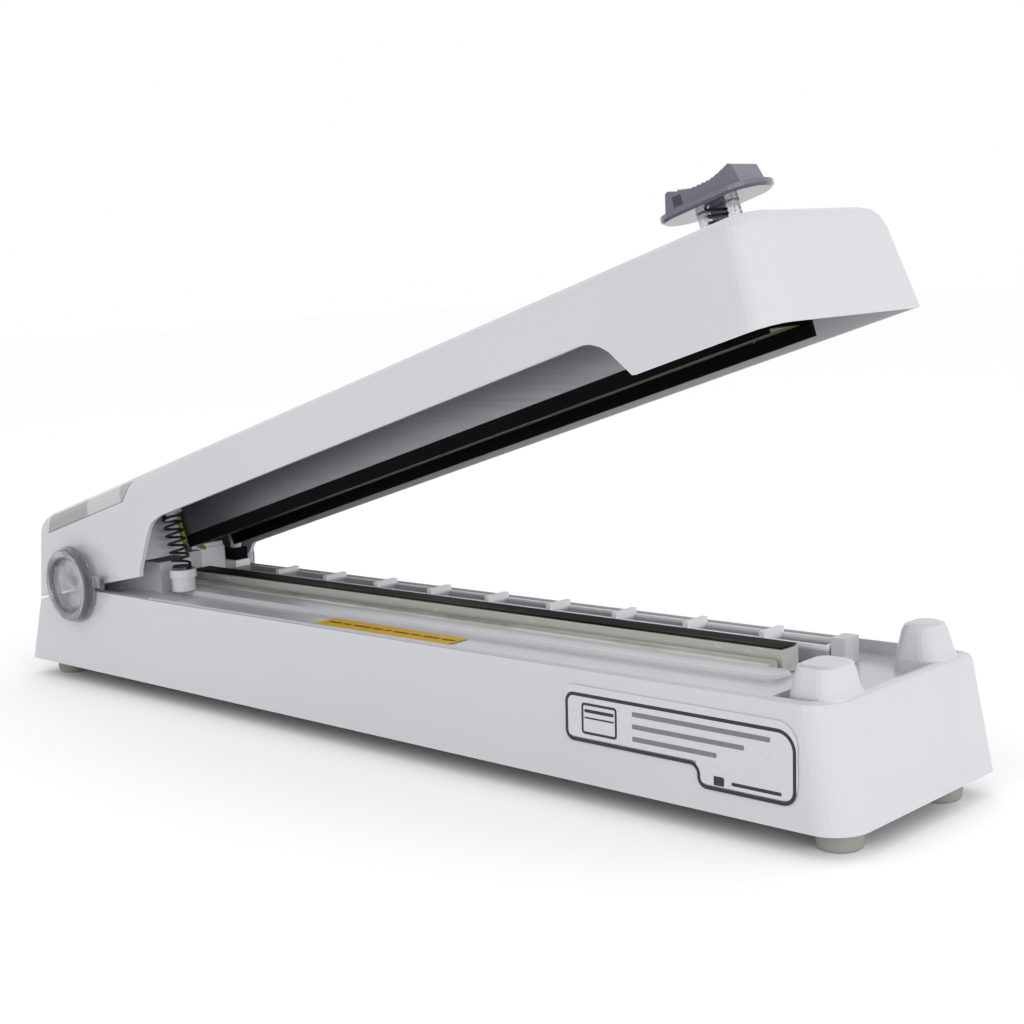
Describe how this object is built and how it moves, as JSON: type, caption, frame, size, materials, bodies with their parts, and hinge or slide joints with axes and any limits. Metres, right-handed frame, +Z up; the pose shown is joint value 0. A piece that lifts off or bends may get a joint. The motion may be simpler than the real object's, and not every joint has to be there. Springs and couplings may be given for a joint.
{
  "type": "impulse heat sealer",
  "caption": "Benchtop impulse heat sealer: moulded base with a long sealing bar, a hinged press arm held open by a spring, and a sliding bag cutter with a knob.",
  "frame": {"origin": "on the surface that the feet stand on, under the middle of the base", "axes": "+X from the hinge toward the free end, +Y to the left (the side label faces -Y), +Z up"},
  "size_m": [0.56, 0.1172, 0.2559],
  "materials": {
    "housing_white": "moulded, fine satin gloss",
    "part_white": "moulded",
    "foot_rubber": "matt warm grey",
    "aluminium": "extruded, satin",
    "steel": "plain",
    "black_plastic": "moulded",
    "silicone_black": "matt",
    "ptfe_brown": "woven glass cloth under PTFE",
    "ptfe_black": "woven glass cloth under PTFE",
    "clear_violet": "smoky clear plastic",
    "clear_plastic": "clear plastic",
    "spring_steel": "blackened",
    "copper": "enamelled winding",
    "board_green": "circuit board",
    "label_yellow": "printed film",
    "label_silver": "printed film",
    "earth_green": "green and yellow lead"
  },
  "bodies": {
    "base": {"base_housing": "housing_white", "bottom_cover": "black_plastic", "bottom_screw_1": "steel", "bottom_screw_2": "steel", "bottom_screw_3": "steel", "bottom_screw_4": "steel", "foot_1": "foot_rubber", "foot_2": "foot_rubber", "foot_3": "foot_rubber", "foot_4": "foot_rubber", "transformer_core": "steel", "transformer_coil_rear": "copper", "transformer_coil_front": "copper", "timer_board": "board_green", "timer_potentiometer": "steel", "power_inlet": "black_plastic", "fuse_holder": "black_plastic", "hinge_shaft": "steel", "sealing_bar": "aluminium", "insulating_strip": "ptfe_brown", "heating_element": "steel", "ptfe_cover": "ptfe_black", "ptfe_clamp_rod": "aluminium", "bar_screw_1": "steel", "bar_screw_2": "steel", "terminal_block": "part_white", "bag_rail": "part_white", "rail_end_block": "part_white", "spring_seat": "part_white", "microswitch": "black_plastic", "deck_label": "label_yellow", "side_label": "label_silver", "arm_spring": "spring_steel", "earth_lead": "earth_green", "microswitch_base": "part_white"},
    "timer_dial": {"timer_dial": "black_plastic"},
    "plunger": {"switch_plunger": "part_white"},
    "plug_near": {"hinge_plug_near": "clear_plastic"},
    "plug_far": {"hinge_plug_far": "clear_plastic"},
    "arm": {"arm_cover": "housing_white", "indicator_window": "clear_violet", "indicator_card": "label_silver", "indicator_lamp": "label_yellow", "indicator_board": "board_green", "press_profile": "aluminium", "pad_holder": "black_plastic", "pressure_pad": "silicone_black", "ptfe_tape": "ptfe_brown", "cutter_guide": "black_plastic", "profile_hanger_1": "steel", "profile_hanger_2": "steel", "hinge_bracket_near": "steel", "hinge_bracket_far": "steel", "switch_striker": "part_white", "spring_cup": "part_white"},
    "cutter": {"cutter_carriage": "clear_plastic", "knob_spring": "spring_steel"},
    "knob": {"slider_knob": "clear_violet", "cutter_blade": "steel"}
  },
  "joints": [
    {"name": "arm_hinge", "type": "hinge", "parent": "base", "child": "arm", "pos_m": [-0.2284, 0, 0.0573], "axis": [0, 1, 0], "range_deg": [0, 15.3], "stiffness_Nm_per_rad": 9, "springref_deg": -31.51, "deforming": ["arm_spring", "earth_lead"]},
    {"name": "cutter_slide", "type": "slide", "parent": "arm", "child": "cutter", "axis": [-0.9613, 0, -0.2756], "range_m": [0, 0.34]},
    {"name": "knob_press", "type": "slide", "parent": "cutter", "child": "knob", "axis": [0.2756, 0, -0.9613], "range_m": [0, 0.007], "stiffness_N_per_m": 400, "springref_m": -0.004, "deforming": ["knob_spring"]},
    {"name": "plunger_press", "type": "slide", "parent": "base", "child": "plunger", "axis": [0, 0, -1], "range_m": [0, 0.003], "stiffness_N_per_m": 250, "springref_m": -0.002},
    {"name": "timer_dial_turn", "type": "hinge", "parent": "base", "child": "timer_dial", "pos_m": [-0.278, 0.032, 0.027], "axis": [-1, 0, 0], "range_deg": [0, 270]},
    {"name": "hinge_plug_near_turn", "type": "hinge", "parent": "base", "child": "plug_near", "pos_m": [-0.2284, -0.055, 0.0573], "axis": [0, 1, 0], "range_deg": [0, 60]},
    {"name": "hinge_plug_far_turn", "type": "hinge", "parent": "base", "child": "plug_far", "pos_m": [-0.2284, 0.055, 0.0573], "axis": [0, 1, 0], "range_deg": [0, 60]}
  ]
}
